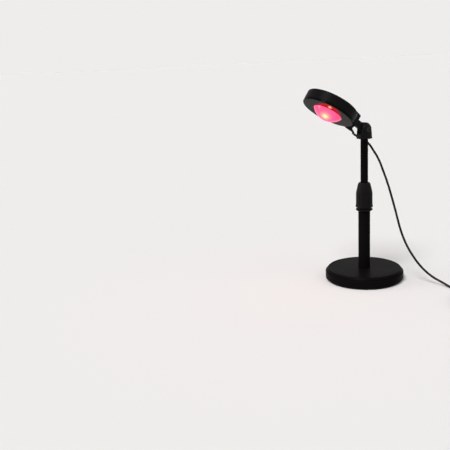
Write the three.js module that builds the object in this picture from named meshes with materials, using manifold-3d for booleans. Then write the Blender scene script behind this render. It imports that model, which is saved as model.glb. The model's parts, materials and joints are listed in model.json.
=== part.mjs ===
// Desk lamp with a round tilting head on a telescopic pole, in millimetres, +Z up.
// Origin: the middle of the base on the ground. The head reaches out towards -Y.

import * as THREE from 'three';
import { mergeVertices } from 'three/addons/utils/BufferGeometryUtils.js';
import Module from 'manifold-3d';

const wasm = await Module();
wasm.setup();

// Clearances shared by all pieces
const seatGap = 0.3;          // between two pieces that rest on each other
const runGap = 0.3;           // around a piece that turns or slides in another
const cutOverrun = 1;         // how far a cutting shape runs past a face

// Faces round a full turn
const discSides = 46;
const tubeSides = 24;
const boreSides = 16;
const screwSides = 12;
const cordSides = 8;
const filletSteps = 3;
const cornerSteps = 3;
const eyeSteps = 6;

// Base: rubber pad, pressed cover with a stepped rim, cast weight
const padThickness = 1.2;
const padInset = 2.6;         // the pad's edge inside the base's
const baseRadius = 53.2;
const baseHeight = 16.5;
const bandTop = 12.6;
const bandRound = 0.9;
const footBevel = 1.4;
const rimFootRadius = 52.2;     // sloping band under the top edge, at its foot
const rimTopRadius = 49.6;
const rimGrooveHeight = 0.8;
const rimGrooveDepth = 0.6;
const coverWall = 1.8;
const topRingRadius = 45.5;     // fine ring pressed into the top
const topRingWidth = 0.8;
const topRingDepth = 0.35;
const weightThickness = 10;
const weightMargin = 0.9;     // free ring between the weight and the cover's wall

// Screw that holds the pole on the base, from below
const poleScrewRadius = 3;
const poleScrewHead = 5;
const poleScrewHeadHeight = 4;
const poleScrewReach = 7;     // how far it runs up into the pole
const poleWasherRadius = 8.4;
const poleWasherThickness = 1.6;
const socketDepthShare = 0.55;
const socketWidthShare = 0.55;

// Pole: lower tube, threaded bush, split collet, clutch nut, upper tube
const lowerTubeRadius = 8;
const lowerTubeWall = 1.2;
const lowerTubeLength = 95.2;
const insertHeight = 8.4;
const flangeFoot = 96.9;
const flangeFootRadius = 8.7;
const flangeRadius = 11.1;
const flangeEdgeLow = 98.2;
const flangeEdgeHigh = 100;
const flangeTop = 100.6;
const bushThreadRadius = 9;
const threadPitch = 2.5;
const threadDepth = 0.4;
const bushShoulder = 6;       // bush above the end of the lower tube
const colletSeatDepth = 3.6;
const colletSeatRadius = 7.4;
const upperTubeRadius = 5;
const upperTubeWall = 1;
const upperTubeBottom = 85;
const guideHeight = 8;
const guideFloor = 1.2;
const guideBore = 3.2;

const nutBottom = 102.8;
const nutTop = 136;
const nutSkirtTop = 121.4;
const nutRadius = 11.2;
const nutLipRadius = 11.6;
const nutLipHeight = 1.5;
const nutShoulderRadius = 9.5;
const nutShoulderHeight = 129.6;
const nutNoseRadius = 8.45;
const nutNoseHeight = 134;
const nutTopRadius = 7.4;
const nutFlutes = 6;
const fluteRadius = 3.2;
const fluteDepth = 0.7;
const fluteFoot = 4.5;        // above the nut's lower edge
const colletRadius = 7.5;
const colletTopRadius = 6.2;
const colletTop = 129;
const colletTipShare = 0.4;
const colletBelt = 3.4;
const colletSlots = 3;
const colletSlotWidth = 0.9;
const colletBridge = 2;       // wall left at the end of each slot

// Knuckle at the top of the pole
const pivotHeight = 208;
const capBottom = 196;
const capSkirtRadius = 10.4;
const capRadius = 9.45;
const capSocketDepth = 2.5;
const spigotLength = 15;
const tongueHalf = 3;
const tongueRadius = 7.6;     // the arm's eye below, towards the slot's floor
const eyeRadius = 9.2;        // the eye above, where it fills the cap's round top
const eyeReach = THREE.MathUtils.degToRad(110);
const tongueHeight = 8.7;
const washerThickness = 0.6;
const washerRadius = 6.6;
const boltRadius = 2;
const boltHeadRadius = 3.5;
const boltHeadHeight = 2.3;
const boltNutWidth = 7;
const boltNutHeight = 2.6;
const boltInset = 0.15;       // how far the head and the nut stay inside the cap
const boltTail = 0.2;

// Head bracket: arm, and the block that is screwed to the rim of the head
const armTilt = THREE.MathUtils.degToRad(35.1);
const blockNear = 21.7;       // pivot to the block's outer face
const blockDepth = 8;
const blockHalf = 8.6;
const blockBack = 8.7;        // block behind the arm's middle line
const blockNose = 13.9;       // block in front of it
const blockSlope = 2;
const noseSlope = 1;
const noseHalf = 3;
const noseTurn = THREE.MathUtils.degToRad(40);
const noseTaperStart = 5.4;
const blockRound = 1;
const exitForward = 11.6;     // middle of the cord's exit in front of the arm's line
const reliefHole = 2;
const reliefFlange = 2.4;
const reliefTip = 2.15;
const reliefLength = 2.6;
const reliefStem = 3;
const reliefInset = 1.2;       // how far the cord goes into the sleeve
const leadPocketHalf = 1.4;

// Head: housing, front ring, lens and what is inside
const headRadius = 35.2;
const headDepth = 15.5;
const faceForward = 13.4;     // front face in front of the arm's line
const housingWall = 2;
const housingFloor = 2.4;
const housingRound = 2;
const bezelThickness = 2.5;
const bezelBevel = 0.6;
const bezelSpigot = 1.9;
const bezelSpigotWall = 1.7;
const lensRadius = 19.2;
const lensRise = 10;
const lensFlange = 1.8;
const lensFlangeThickness = 1.2;
const lipWidth = 1.2;
const lipHeight = 0.4;
const sinkRadius = 23.4;
const sinkThickness = 1.9;
const sinkRim = 1.5;
const boardRadius = 21.2;
const boardThickness = 1.6;
const chipSize = 7;
const chipThickness = 0.8;
const chipDome = 2.4;
const chipDomeHeight = 0.5;
const chamberRadius = 16.8;
const chamberMouth = 14.4;
const chamberThroat = 5.4;
const filterRadius = 15.4;
const filterThickness = 1.1;
const postCircle = 27;
const postRadius = 3;
const housingScrews = 3;
const smallScrewRadius = 1.2;
const smallScrewHead = 2.1;
const smallScrewHeadHeight = 1.1;
const housingScrewLength = 7;
const bracketScrewSpread = 4.6;
const bracketScrewForward = 3.4;
const bracketScrewLength = 5.5;
const boardScrewLength = 3;
const innerLeadRadius = 1;
const leadBend = 2;

// Cord, switch and plug
const cordRadius = 1.5;
const cordRest = 1.6;         // middle of the cord above the ground
const cordInset = 2;          // how far the cord goes into what holds it
const cordBore = 1.8;
const coilLayers = 4;
const coilTurns = 9.5;
const coilPitch = 3.6;
const coilOuter = 21.6;
const coilSteps = 20;
const coilSides = 6;
const coilTail = 4;           // straight piece at each end of the coil
const tieWidth = 7;
const tieThickness = 0.9;
const tieRound = 2;

const switchLength = 44;
const switchWidth = 17;
const switchHeight = 10.4;
const switchParting = 4.2;
const switchWall = 1.8;
const switchBevel = 1;
const switchRound = 3;
const switchGland = 2.6;
const switchGlandLength = 4;
const buttonLength = 13;
const buttonWidth = 8;
const buttonRise = 1.4;
const buttonFlange = 1.2;
const buttonRound = 2;

const plugWidth = 16;
const plugHeight = 8.2;
const plugLength = 24;
const plugRound = 2;
const plugBevel = 0.6;
const plugTailLength = 10;
const plugTailRadius = 2.8;
const plugTailTip = 2.4;
const plugPocket = 4;
const plugShellWidth = 12;
const plugShellHeight = 4.5;
const plugShellLength = 12.6;
const plugShellWall = 0.4;
const plugTongueHeight = 1.8;
const plugTongueRecess = 1;

// The cord on the ground is placed as seen from the front right: to the right, then away
const sightAngle = THREE.MathUtils.degToRad(49.5);
const switchPlace = [122, -96];
const coilPlace = [169.6, -60];
const plugPlace = [191.2, -106];

// Route of the cord from the head to the ground, chosen by hand
const dropRoute = [
  [-0.5, -19.2, 206.5],
  [-3.1, -16.3, 204.9],
  [-7.4, -12.9, 203.2],
  [-10.9, -8.3, 201.2],
  [-12.4, -3.0, 198.6],
  [-12.3, 2.6, 195.6],
  [-10.1, 8.2, 191.9],
  [-6.1, 13.0, 186.8],
  [-1.5, 17.1, 177.8],
  [4.1, 21.6, 165.6],
  [9.8, 25.6, 148.3],
  [15.0, 28.6, 132.1],
  [19.9, 30.7, 116.0],
  [24.8, 32.4, 99.8],
  [29.4, 33.9, 83.7],
  [34.6, 35.6, 67.5],
  [41.2, 37.9, 52.5],
  [50.8, 41.8, 36.4],
  [63.0, 47.4, 21.2],
  [76.0, 54.1, 10.4],
  [89.5, 59.3, 4.6],
  [100.6, 60.1, 1.9],
];

// Route on the ground, as [right, away, height]
const floorRoute = [
  [116.4, -45.4, 1.8],
  [119.9, -53.4, 2.0],
  [121.7, -61.2, 3.0],
  [122.0, -67.0, 4.0],
];
const linkRoute = [
  [122.0, -126.5, 3.9],
  [123.0, -131.5, 2.6],
  [127.0, -137.4, 1.8],
  [134.0, -140.2, 1.7],
  [141.4, -138.0, 1.7],
  [146.2, -131.4, 1.7],
  [147.8, -122.0, 1.7],
  [148.0, -108.0, 1.7],
  [148.0, -92.0, 1.8],
  [148.0, -78.0, 2.2],
];
const tailRoute = [
  [191.2, -69.0, 12.7],
  [191.2, -76.0, 10.6],
  [191.2, -83.5, 7.0],
  [191.2, -90.5, 4.6],
];
const leadEndHeight = 189;    // where the head's length of cord becomes the hanging one
const dropSplitHeight = 119;

// Material of a piece
function finish(color, roughness, metalness) {
  return new THREE.MeshStandardMaterial({ color, roughness, metalness });
}

const blackPaint = () => finish(0x1a1817, 0.5, 0.3);
const blackPlastic = () => finish(0x191716, 0.6, 0);
const blackRubber = () => finish(0x141312, 0.85, 0);
const zincSteel = () => finish(0x9a9a9c, 0.4, 1);
const blackSteel = () => finish(0x2a2a2b, 0.45, 0.9);
const castIron = () => finish(0x3b3a39, 0.8, 0.8);
const bareAluminium = () => finish(0xc4c6c8, 0.4, 1);
const clearGlass = () => finish(0xffd9dc, 0.05, 0);
const redGlass = () => finish(0xd0304a, 0.1, 0);
const boardWhite = () => finish(0xe9e7e0, 0.5, 0);
const phosphor = () => finish(0xe8c040, 0.5, 0);
const whitePlastic = () => finish(0xe4e2dc, 0.5, 0);

const lamp = new THREE.Group();

function place(parent, name, geometry, material) {
  const piece = new THREE.Mesh(geometry, material);
  piece.name = name;
  parent.add(piece);
  return piece;
}

// A closed mesh whose corners are shared and whose collapsed faces are gone
function sealed(geometry) {
  const bare = geometry.clone();
  bare.deleteAttribute('normal');
  bare.deleteAttribute('uv');
  const merged = mergeVertices(bare, 1e-4);
  const index = merged.getIndex().array;
  const kept = [];
  for (let i = 0; i < index.length; i += 3) {
    const [a, b, c] = [index[i], index[i + 1], index[i + 2]];
    if (a !== b && b !== c && c !== a) kept.push(a, b, c);
  }
  merged.setIndex(kept);
  return merged;
}

function toSolid(geometry) {
  const mesh = sealed(geometry);
  const vertProperties = new Float32Array(mesh.getAttribute('position').array);
  const triVerts = new Uint32Array(mesh.getIndex().array);
  return new wasm.Manifold(new wasm.Mesh({ numProp: 3, vertProperties, triVerts }));
}

function toGeometry(solid) {
  const mesh = solid.getMesh();
  const geometry = new THREE.BufferGeometry();
  geometry.setAttribute('position', new THREE.BufferAttribute(new Float32Array(mesh.vertProperties), 3));
  geometry.setIndex(new THREE.BufferAttribute(new Uint32Array(mesh.triVerts), 1));
  return geometry;
}

function join(first, ...others) {
  return toGeometry(others.reduce((sum, next) => sum.add(toSolid(next)), toSolid(first)));
}

function cut(first, ...others) {
  return toGeometry(others.reduce((sum, next) => sum.subtract(toSolid(next)), toSolid(first)));
}

function common(first, second) {
  return toGeometry(toSolid(first).intersect(toSolid(second)));
}

// A turned piece: its outline as [radius, height], anticlockwise, closed on the axis or on itself
function turned(outline, sides = discSides) {
  const points = outline.map(([r, z]) => new THREE.Vector2(r, z));
  const onAxis = outline[0][0] === 0 && outline[outline.length - 1][0] === 0;
  if (!onAxis) points.push(points[0].clone());
  return sealed(new THREE.LatheGeometry(points, sides).rotateX(Math.PI / 2));
}

function rod(radius, from, to, sides = boreSides) {
  return turned([[0, from], [radius, from], [radius, to], [0, to]], sides);
}

function sleeve(inner, outer, from, to, sides = boreSides) {
  return turned([[inner, from], [outer, from], [outer, to], [inner, to]], sides);
}

// A quarter round as points of an outline, from one angle to another in degrees
function arc(centreR, centreZ, radius, from, to, steps = filletSteps) {
  return Array.from({ length: steps + 1 }, (_, i) => {
    const angle = THREE.MathUtils.degToRad(from + (to - from) * i / steps);
    return [centreR + radius * Math.cos(angle), centreZ + radius * Math.sin(angle)];
  });
}

function block(width, depth, height) {
  return new THREE.BoxGeometry(width, depth, height);
}

// A flat outline made thick along +Z
function slab(shape, thickness, bevel = 0, steps = cornerSteps) {
  return new THREE.ExtrudeGeometry(shape, {
    depth: thickness - 2 * bevel,
    bevelEnabled: bevel > 0,
    bevelThickness: bevel,
    bevelSize: bevel,
    bevelOffset: -bevel,
    bevelSegments: 1,
    curveSegments: steps,
  }).translate(0, 0, bevel);
}

function roundedRectangle(width, height, radius) {
  const [w, h] = [width / 2, height / 2];
  const shape = new THREE.Shape();
  shape.moveTo(w - radius, -h);
  shape.absarc(w - radius, -h + radius, radius, -Math.PI / 2, 0);
  shape.absarc(w - radius, h - radius, radius, 0, Math.PI / 2);
  shape.absarc(-w + radius, h - radius, radius, Math.PI / 2, Math.PI);
  shape.absarc(-w + radius, -h + radius, radius, Math.PI, Math.PI * 3 / 2);
  return shape;
}

// A round tube of one section along a curve
function tubeAlong(curve, radius, steps, sides = cordSides) {
  const section = new THREE.Shape(Array.from({ length: sides }, (_, i) => {
    const angle = 2 * Math.PI * i / sides;
    return new THREE.Vector2(radius * Math.cos(angle), radius * Math.sin(angle));
  }));
  return sealed(new THREE.ExtrudeGeometry(section, { steps, extrudePath: curve }));
}

// Screw with a round head and a six-sided socket, head down, its seat at height 0
function screw(radius, length, headRadius_, headHeight, sides = screwSides) {
  const body = turned([
    [0, -headHeight],
    [headRadius_, -headHeight],
    [headRadius_, 0],
    [radius, 0],
    [radius, length],
    [0, length],
  ], sides);
  const socketDepth = headHeight * socketDepthShare;
  const socket = rod(headRadius_ * socketWidthShare, -headHeight - cutOverrun, socketDepth - headHeight, 6);
  return cut(body, socket);
}

// Base
const coverBottom = padThickness + seatGap;
const coverCeiling = baseHeight - coverWall;
const ledgeRadius = rimFootRadius - rimGrooveDepth;
const grooveTop = bandTop + rimGrooveHeight;
const screwHoleRadius = poleScrewRadius + runGap;

function baseCover() {
  const upperWall = rimTopRadius - coverWall / 2;
  return turned([
    [baseRadius - coverWall, coverBottom],
    [baseRadius - footBevel, coverBottom],
    [baseRadius, coverBottom + footBevel],
    ...arc(baseRadius - bandRound, bandTop - bandRound, bandRound, 0, 90),
    [ledgeRadius, bandTop],
    [ledgeRadius, grooveTop],
    [rimFootRadius, grooveTop],
    [rimTopRadius, baseHeight],
    [topRingRadius + topRingWidth / 2, baseHeight],
    [topRingRadius, baseHeight - topRingDepth],
    [topRingRadius - topRingWidth / 2, baseHeight],
    [screwHoleRadius, baseHeight],
    [screwHoleRadius, coverCeiling],
    [upperWall, coverCeiling],
    [upperWall, bandTop - coverWall],
    [baseRadius - coverWall, bandTop - coverWall - coverWall],
  ]);
}

const weightTop = coverCeiling - seatGap;
const weightBottom = weightTop - weightThickness;
const wellRadius = poleWasherRadius + weightMargin;
const washerTop = weightBottom + poleScrewHeadHeight + poleWasherThickness;
const wellCeiling = washerTop + seatGap;

function baseWeight() {
  const radius = rimTopRadius - coverWall / 2 - weightMargin;
  return turned([
    [wellRadius, weightBottom],
    [radius, weightBottom],
    [radius, weightTop],
    [screwHoleRadius, weightTop],
    [screwHoleRadius, wellCeiling],
    [wellRadius, wellCeiling],
  ]);
}

const poleFoot = baseHeight + seatGap;
const washerBottom = washerTop - poleWasherThickness;
const poleScrewSeat = washerBottom - seatGap;

place(lamp, 'foot_pad', rod(baseRadius - padInset, 0, padThickness, discSides), blackRubber());
place(lamp, 'base_cover', baseCover(), blackPaint());
place(lamp, 'base_weight', baseWeight(), castIron());
place(lamp, 'pole_washer', sleeve(screwHoleRadius, poleWasherRadius, washerBottom, washerTop), zincSteel());
const poleScrewLength = poleFoot + poleScrewReach - poleScrewSeat;
place(lamp, 'pole_screw',
  screw(poleScrewRadius, poleScrewLength, poleScrewHead, poleScrewHeadHeight - seatGap, boreSides), zincSteel())
  .position.z = poleScrewSeat;

// Lower tube with the insert that takes the screw
const lowerBore = lowerTubeRadius - lowerTubeWall;
const lowerTubeTop = poleFoot + lowerTubeLength;
place(lamp, 'lower_tube', sleeve(lowerBore, lowerTubeRadius, poleFoot, lowerTubeTop, tubeSides), blackPaint());
place(lamp, 'pole_insert',
  sleeve(screwHoleRadius, lowerBore - seatGap, poleFoot, poleFoot + insertHeight), zincSteel());

// Threaded bush on the lower tube, with a flange below the nut and a cone for the collet
const bushBore = lowerTubeRadius + seatGap;
const bushTop = lowerTubeTop + bushShoulder;
const slideBore = upperTubeRadius + runGap;

function threadBush() {
  const root = bushThreadRadius - threadDepth;
  const outline = [
    [bushBore, flangeFoot],
    [flangeFootRadius, flangeFoot],
    [flangeRadius, flangeEdgeLow],
    [flangeRadius, flangeEdgeHigh],
    [bushThreadRadius, flangeTop],
    [bushThreadRadius, nutBottom],
    [root, nutBottom + threadPitch / 2],
  ];
  const threadStart = nutBottom + threadPitch;
  for (let z = threadStart; z + threadPitch < bushTop; z += threadPitch) {
    outline.push([root, z]);
    outline.push([bushThreadRadius, z + threadPitch / 2]);
  }
  const shoulder = lowerTubeTop + seatGap;
  outline.push([root, bushTop]);
  outline.push([colletSeatRadius, bushTop]);
  outline.push([slideBore, bushTop - colletSeatDepth]);
  outline.push([slideBore, shoulder]);
  outline.push([bushBore, shoulder]);
  return turned(outline, tubeSides);
}

place(lamp, 'thread_bush', threadBush(), blackPlastic());

// Split collet: a cone at both ends, slit in turn from above and from below
const seatSlope = (colletSeatRadius - slideBore) / colletSeatDepth;

function colletOuter(z) {
  return slideBore + (z - (bushTop - colletSeatDepth)) * seatSlope - seatGap;
}

function splitCollet() {
  const beltBottom = bushTop + seatGap;
  const tip = bushTop - colletSeatDepth * (1 - colletTipShare);
  const body = turned([
    [slideBore, tip],
    [colletOuter(tip), tip],
    [colletOuter(bushTop), bushTop],
    [colletRadius, beltBottom],
    [colletRadius, beltBottom + colletBelt],
    [colletTopRadius, colletTop],
    [slideBore, colletTop],
  ], tubeSides);
  const slots = [];
  for (let i = 0; i < colletSlots * 2; i += 1) {
    const fromAbove = i % 2 === 0;
    const low = fromAbove ? tip + colletBridge : tip - cutOverrun;
    const high = fromAbove ? colletTop + cutOverrun : colletTop - colletBridge;
    const slot = block(colletRadius, colletSlotWidth, high - low);
    slot.translate(slideBore - cutOverrun + colletRadius / 2, 0, (high + low) / 2);
    slots.push(slot.rotateZ(Math.PI * i / colletSlots));
  }
  return cut(body, ...slots);
}

place(lamp, 'split_collet', splitCollet(), whitePlastic());

// Clutch nut: fluted skirt, rounded nose, and the cone that closes the collet
function clutchNut() {
  const bore = bushThreadRadius + runGap;
  const beltTop = bushTop + seatGap + colletBelt;
  const coneTop = colletTop + runGap;
  const body = turned([
    [bore, nutBottom],
    [nutLipRadius, nutBottom],
    [nutLipRadius, nutBottom + nutLipHeight],
    [nutRadius, nutBottom + nutLipHeight * 2],
    [nutRadius, nutSkirtTop],
    [nutShoulderRadius, nutShoulderHeight],
    [nutNoseRadius, nutNoseHeight],
    [nutTopRadius, nutTop],
    [slideBore, nutTop],
    [slideBore, coneTop],
    [colletTopRadius + runGap, coneTop],
    [colletRadius + runGap, beltTop],
    [bore, beltTop],
  ], discSides);
  const flutes = [];
  for (let i = 0; i < nutFlutes; i += 1) {
    const flute = rod(fluteRadius, nutBottom + fluteFoot, nutTop, boreSides);
    flute.translate(nutRadius + fluteRadius - fluteDepth, 0, 0);
    flutes.push(flute.rotateZ(sightAngle + 2 * Math.PI * i / nutFlutes));
  }
  return cut(body, ...flutes);
}

place(lamp, 'clutch_nut', clutchNut(), blackPlastic());

// Upper tube and the guide bush on its lower end
const upperBore = upperTubeRadius - upperTubeWall;
const capCeiling = capBottom + capSocketDepth;
const upperTubeTop = capCeiling - seatGap;
place(lamp, 'upper_tube',
  sleeve(upperBore, upperTubeRadius, upperTubeBottom, upperTubeTop, tubeSides), blackPaint());

function guideBush() {
  const floorTop = upperTubeBottom - seatGap;
  const outer = lowerBore - runGap;
  return turned([
    [guideBore, floorTop - guideFloor],
    [outer, floorTop - guideFloor],
    [outer, upperTubeBottom + guideHeight],
    [upperTubeRadius + seatGap, upperTubeBottom + guideHeight],
    [upperTubeRadius + seatGap, floorTop],
    [guideBore, floorTop],
  ], tubeSides);
}

place(lamp, 'guide_bush', guideBush(), whitePlastic());

// Knuckle cap: skirt on the tube, spigot inside it, two cheeks with a slot between
const slotHalf = tongueHalf + seatGap + washerThickness + seatGap;
const slotRadius = tongueRadius + runGap + seatGap;
const slotMouth = tongueHeight / 2 + runGap + seatGap;
const capTop = pivotHeight + capRadius;
const headSeat = capRadius - boltInset - boltHeadHeight;
const nutSeat = capRadius - boltInset - boltNutHeight;

function acrossX(geometry) {
  return geometry.rotateY(Math.PI / 2);
}

function knuckleCap() {
  const spigotEnd = capCeiling - spigotLength;
  const skirt = turned([
    [0, spigotEnd],
    [upperBore - seatGap, spigotEnd],
    [upperBore - seatGap, capCeiling],
    [upperTubeRadius + seatGap, capCeiling],
    [upperTubeRadius + seatGap, capBottom],
    [capSkirtRadius, capBottom],
    ...arc(0, pivotHeight, capRadius, 0, 90, filletSteps * 2).slice(0, -1),
    [0, capTop],
  ], tubeSides);
  const reach = 2 * capSkirtRadius;
  const slotHeight = slotMouth + capRadius + cutOverrun;
  const through = block(2 * slotHalf, 2 * reach, slotHeight);
  through.translate(0, 0, pivotHeight - slotMouth + slotHeight / 2);
  const round = acrossX(rod(slotRadius, -slotHalf, slotHalf, tubeSides)).translate(0, 0, pivotHeight);
  const hole = acrossX(rod(boltRadius + runGap, -reach, reach)).translate(0, 0, pivotHeight);
  const headWell = acrossX(rod(boltHeadRadius + runGap, headSeat - seatGap, reach));
  const nutWell = acrossX(rod((boltNutWidth / 2 + runGap) / Math.cos(Math.PI / 6), -reach, seatGap - nutSeat, 6));
  return cut(skirt, through, round, hole,
    headWell.translate(0, 0, pivotHeight),
    nutWell.translate(0, 0, pivotHeight));
}

place(lamp, 'knuckle_cap', knuckleCap(), blackPlastic());

// Bolt, nut and friction washers of the knuckle
const knuckle = new THREE.Group();
knuckle.position.z = pivotHeight;
lamp.add(knuckle);

const boltLength = headSeat + nutSeat + boltNutHeight - boltTail;
const boltShape = screw(boltRadius, boltLength, boltHeadRadius, boltHeadHeight, boreSides);
place(knuckle, 'hinge_bolt', boltShape.rotateY(-Math.PI / 2), blackSteel()).position.x = headSeat;
const nutCorner = boltNutWidth / 2 / Math.cos(Math.PI / 6);
const nutShape = cut(rod(nutCorner, 0, boltNutHeight, 6), rod(boltRadius + runGap, -cutOverrun, boltNutHeight + cutOverrun));
place(knuckle, 'hinge_nut', nutShape.rotateY(-Math.PI / 2), blackSteel()).position.x = -nutSeat;
for (const [name, side] of [['friction_washer_left', -1], ['friction_washer_right', 1]]) {
  const washer = acrossX(sleeve(boltRadius + runGap, washerRadius, -washerThickness / 2, washerThickness / 2));
  place(knuckle, name, washer, whitePlastic()).position.x = side * (slotHalf - seatGap - washerThickness / 2);
}

// Head assembly: x across, y out along the arm, z the way the lens looks
const head = new THREE.Group();
head.position.z = pivotHeight;
head.rotation.x = Math.PI - armTilt;
lamp.add(head);

const puck = new THREE.Group();
const headReach = blockNear + blockDepth + headRadius;
puck.position.y = headReach;
head.add(puck);

// Heights inside the head, from its back to its front
const headBack = faceForward - headDepth;
const floorTop = headBack + housingFloor;
const bezelBack = faceForward - bezelThickness;
const housingFront = bezelBack - seatGap;
const sinkBack = floorTop + seatGap;
const sinkFront = sinkBack + sinkThickness;
const boardBack = sinkFront + seatGap;
const boardFront = boardBack + boardThickness;
const chamberBack = boardFront + seatGap;
const flangeFront = bezelBack - seatGap;
const flangeBack = flangeFront - lensFlangeThickness;
const filterFront = flangeBack - seatGap;
const filterBack = filterFront - filterThickness;
const innerRadius = headRadius - housingWall;
const leadForward = boardFront + seatGap + innerLeadRadius;

// The eye is small where it passes the slot's floor and large where it fills the cap's top
function armProfile() {
  const shape = new THREE.Shape();
  const end = blockNear + blockDepth / 2;
  const half = tongueHeight / 2;
  shape.moveTo(end, -half);
  shape.lineTo(end, half);
  shape.absarc(0, 0, tongueRadius, Math.asin(half / tongueRadius), 2 * Math.PI - eyeReach);
  shape.absarc(0, 0, eyeRadius, 2 * Math.PI - eyeReach, 2 * Math.PI - Math.asin(half / eyeRadius));
  return shape;
}

function sideProfile() {
  const far = blockNear + blockDepth * 2;
  const shape = new THREE.Shape();
  shape.moveTo(blockNear, -blockBack + blockRound);
  shape.lineTo(blockNear + blockRound, -blockBack);
  shape.lineTo(far, -blockBack - blockSlope);
  shape.lineTo(far, blockNose - noseSlope);
  shape.lineTo(blockNear + blockRound, blockNose);
  shape.lineTo(blockNear, blockNose - blockRound);
  return shape;
}

function frontProfile() {
  const shape = new THREE.Shape();
  const low = -blockBack - blockSlope * 2;
  const tip = blockNose - noseHalf;
  shape.moveTo(-blockHalf, low);
  shape.lineTo(blockHalf, low);
  shape.lineTo(blockHalf, noseTaperStart);
  shape.absarc(0, tip, noseHalf, noseTurn, Math.PI - noseTurn);
  shape.lineTo(-blockHalf, noseTaperStart);
  return shape;
}

// Turns an outline drawn in (y, z) into a slab across x
function slabAcross(shape, width, steps = cornerSteps) {
  const geometry = slab(shape, width, 0, steps);
  geometry.translate(0, 0, -width / 2);
  geometry.rotateY(Math.PI / 2);
  return geometry.rotateX(Math.PI / 2);
}

function alongY(geometry) {
  return geometry.rotateX(-Math.PI / 2);
}

function headBracket() {
  const arm = slabAcross(armProfile(), 2 * tongueHalf, eyeSteps);
  const side = slabAcross(sideProfile(), 4 * blockHalf);
  const front = slab(frontProfile(), 3 * blockDepth).rotateX(Math.PI / 2);
  front.translate(0, blockNear + 3 * blockDepth - cutOverrun, 0);
  const saddle = common(side, front);
  const rim = rod(headRadius + seatGap, -2 * headDepth, 2 * headDepth, discSides).translate(0, headReach, 0);
  const hole = acrossX(rod(boltRadius + runGap, -blockHalf, blockHalf));
  const cordHole = alongY(rod(reliefHole, -cutOverrun, reliefStem + seatGap, screwSides));
  cordHole.translate(0, blockNear, exitForward);
  const pocketTop = exitForward + leadPocketHalf;
  const pocketLow = leadForward - leadPocketHalf;
  const pocket = block(2 * leadPocketHalf, blockDepth, pocketTop - pocketLow);
  pocket.translate(0, blockNear + reliefStem + blockDepth / 2, (pocketTop + pocketLow) / 2);
  const screwHoles = [-1, 1].map((side_) => alongY(rod(smallScrewRadius + runGap, blockNear + blockRound,
    headReach, screwSides)).translate(side_ * bracketScrewSpread, 0, bracketScrewForward));
  return cut(join(arm, saddle), rim, hole, cordHole, pocket, ...screwHoles);
}

place(head, 'head_bracket', headBracket(), blackPlastic());

// Rubber sleeve that lets the cord into the block: wide bore for the cord, narrow for the lead
const reliefShape = turned([
  [cordBore, 0],
  [reliefTip, 0],
  [reliefFlange, reliefLength - seatGap],
  [reliefHole - seatGap, reliefLength - seatGap],
  [reliefHole - seatGap, reliefLength + reliefStem],
  [innerLeadRadius + seatGap, reliefLength + reliefStem],
  [innerLeadRadius + seatGap, reliefInset + seatGap],
  [cordBore, reliefInset + seatGap],
], screwSides);
const relief = place(head, 'strain_relief', alongY(reliefShape), blackRubber());
relief.position.set(0, blockNear - reliefLength, exitForward);

function aroundPosts(make) {
  return Array.from({ length: housingScrews }, (_, i) => {
    const angle = Math.PI / 2 + 2 * Math.PI * i / housingScrews;
    return make(i).translate(postCircle * Math.cos(angle), postCircle * Math.sin(angle), 0);
  });
}

function rearHousing() {
  const cup = turned([
    [0, headBack],
    ...arc(headRadius - housingRound, headBack + housingRound, housingRound, -90, 0),
    [headRadius, housingFront],
    [innerRadius, housingFront],
    [innerRadius, floorTop],
    [0, floorTop],
  ]);
  const wells = aroundPosts(() => join(
    rod(smallScrewHead + runGap, headBack - cutOverrun, headBack + smallScrewHeadHeight + seatGap, screwSides),
    rod(smallScrewRadius + runGap, headBack - cutOverrun, floorTop + cutOverrun, screwSides),
  ));
  const wallHoles = [-1, 1].map((side_) => alongY(rod(smallScrewRadius + runGap, -headRadius - cutOverrun,
    -innerRadius / 2, screwSides)).translate(side_ * bracketScrewSpread, 0, bracketScrewForward));
  const leadHole = alongY(rod(leadPocketHalf, -headRadius - cutOverrun, -innerRadius / 2, screwSides));
  return cut(cup, ...wells, ...wallHoles, leadHole.translate(0, 0, leadForward));
}

function frontBezel() {
  const hole = lensRadius + runGap;
  const lip = hole + lipWidth;
  const ring = turned([
    [hole, bezelBack],
    [headRadius - housingWall - seatGap - bezelSpigotWall, bezelBack],
    [headRadius - housingWall - seatGap - bezelSpigotWall, bezelBack - bezelSpigot],
    [headRadius - housingWall - seatGap, bezelBack - bezelSpigot],
    [headRadius - housingWall - seatGap, bezelBack],
    [headRadius, bezelBack],
    [headRadius, faceForward - bezelBevel],
    [headRadius - bezelBevel, faceForward],
    [lip, faceForward],
    [lip - lipHeight, faceForward + lipHeight],
    [hole, faceForward + lipHeight],
  ]);
  const posts = aroundPosts(() => rod(postRadius, floorTop + seatGap, bezelBack + seatGap, screwSides));
  const pilots = aroundPosts(() => rod(smallScrewRadius + runGap, headBack, headBack + smallScrewHeadHeight
    + housingScrewLength + 2 * seatGap, screwSides));
  return cut(join(ring, ...posts), ...pilots);
}

function lensBody() {
  const sphere = (lensRadius ** 2 + lensRise ** 2) / (2 * lensRise);
  const centre = faceForward + lensRise - sphere;
  const rimAngle = THREE.MathUtils.radToDeg(Math.asin((faceForward - centre) / sphere));
  return turned([
    [0, flangeBack],
    [lensRadius + lensFlange, flangeBack],
    [lensRadius + lensFlange, flangeFront],
    [lensRadius, flangeFront],
    ...arc(0, centre, sphere, rimAngle, 90, filletSteps * 2).slice(0, -1),
    [0, faceForward + lensRise],
  ], discSides);
}

place(puck, 'rear_housing', rearHousing(), blackPaint());
place(puck, 'front_bezel', frontBezel(), blackPlastic());
place(puck, 'lens', lensBody(), clearGlass());
place(puck, 'colour_filter', rod(filterRadius, filterBack, filterFront, tubeSides), redGlass());

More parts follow.
